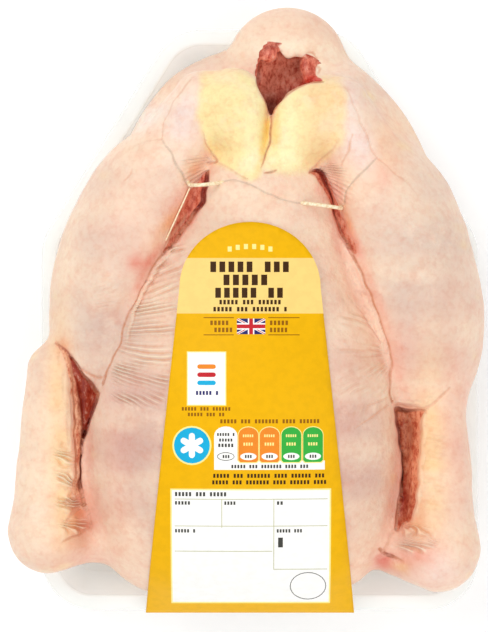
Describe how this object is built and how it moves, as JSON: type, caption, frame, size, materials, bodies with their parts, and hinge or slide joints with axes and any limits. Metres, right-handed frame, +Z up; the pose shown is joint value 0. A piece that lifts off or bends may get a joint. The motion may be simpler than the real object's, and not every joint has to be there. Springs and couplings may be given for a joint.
{
  "type": "whole raw chicken",
  "caption": "Whole raw chicken lying breast up in a clear shallow tray, drumsticks held by a stretched elastic, with a long arched label over the breast.",
  "frame": {"origin": "middle of the tray's flat underside", "axes": "+Z up through the breast, +Y along the bird towards its tail, +X towards the side of the bird that is on the right when seen from above with the tail away from the viewer"},
  "size_m": [0.1914, 0.2441, 0.0898],
  "materials": {
    "chicken_skin": "moist pale peach raw poultry skin with pinkish and mauve patches, cream yellow hocks and a dark red vent",
    "clear_tray": "clear thermoformed tray with a faint grey-green tint",
    "elastic": "matte cream elastic strand",
    "label_paper": "satin golden yellow printed label with a paler band, white panels and small coloured fields"
  },
  "bodies": {
    "root": {"chicken": "chicken_skin", "tray": "clear_tray", "elastic": "elastic", "label": "label_paper"}
  },
  "joints": []
}
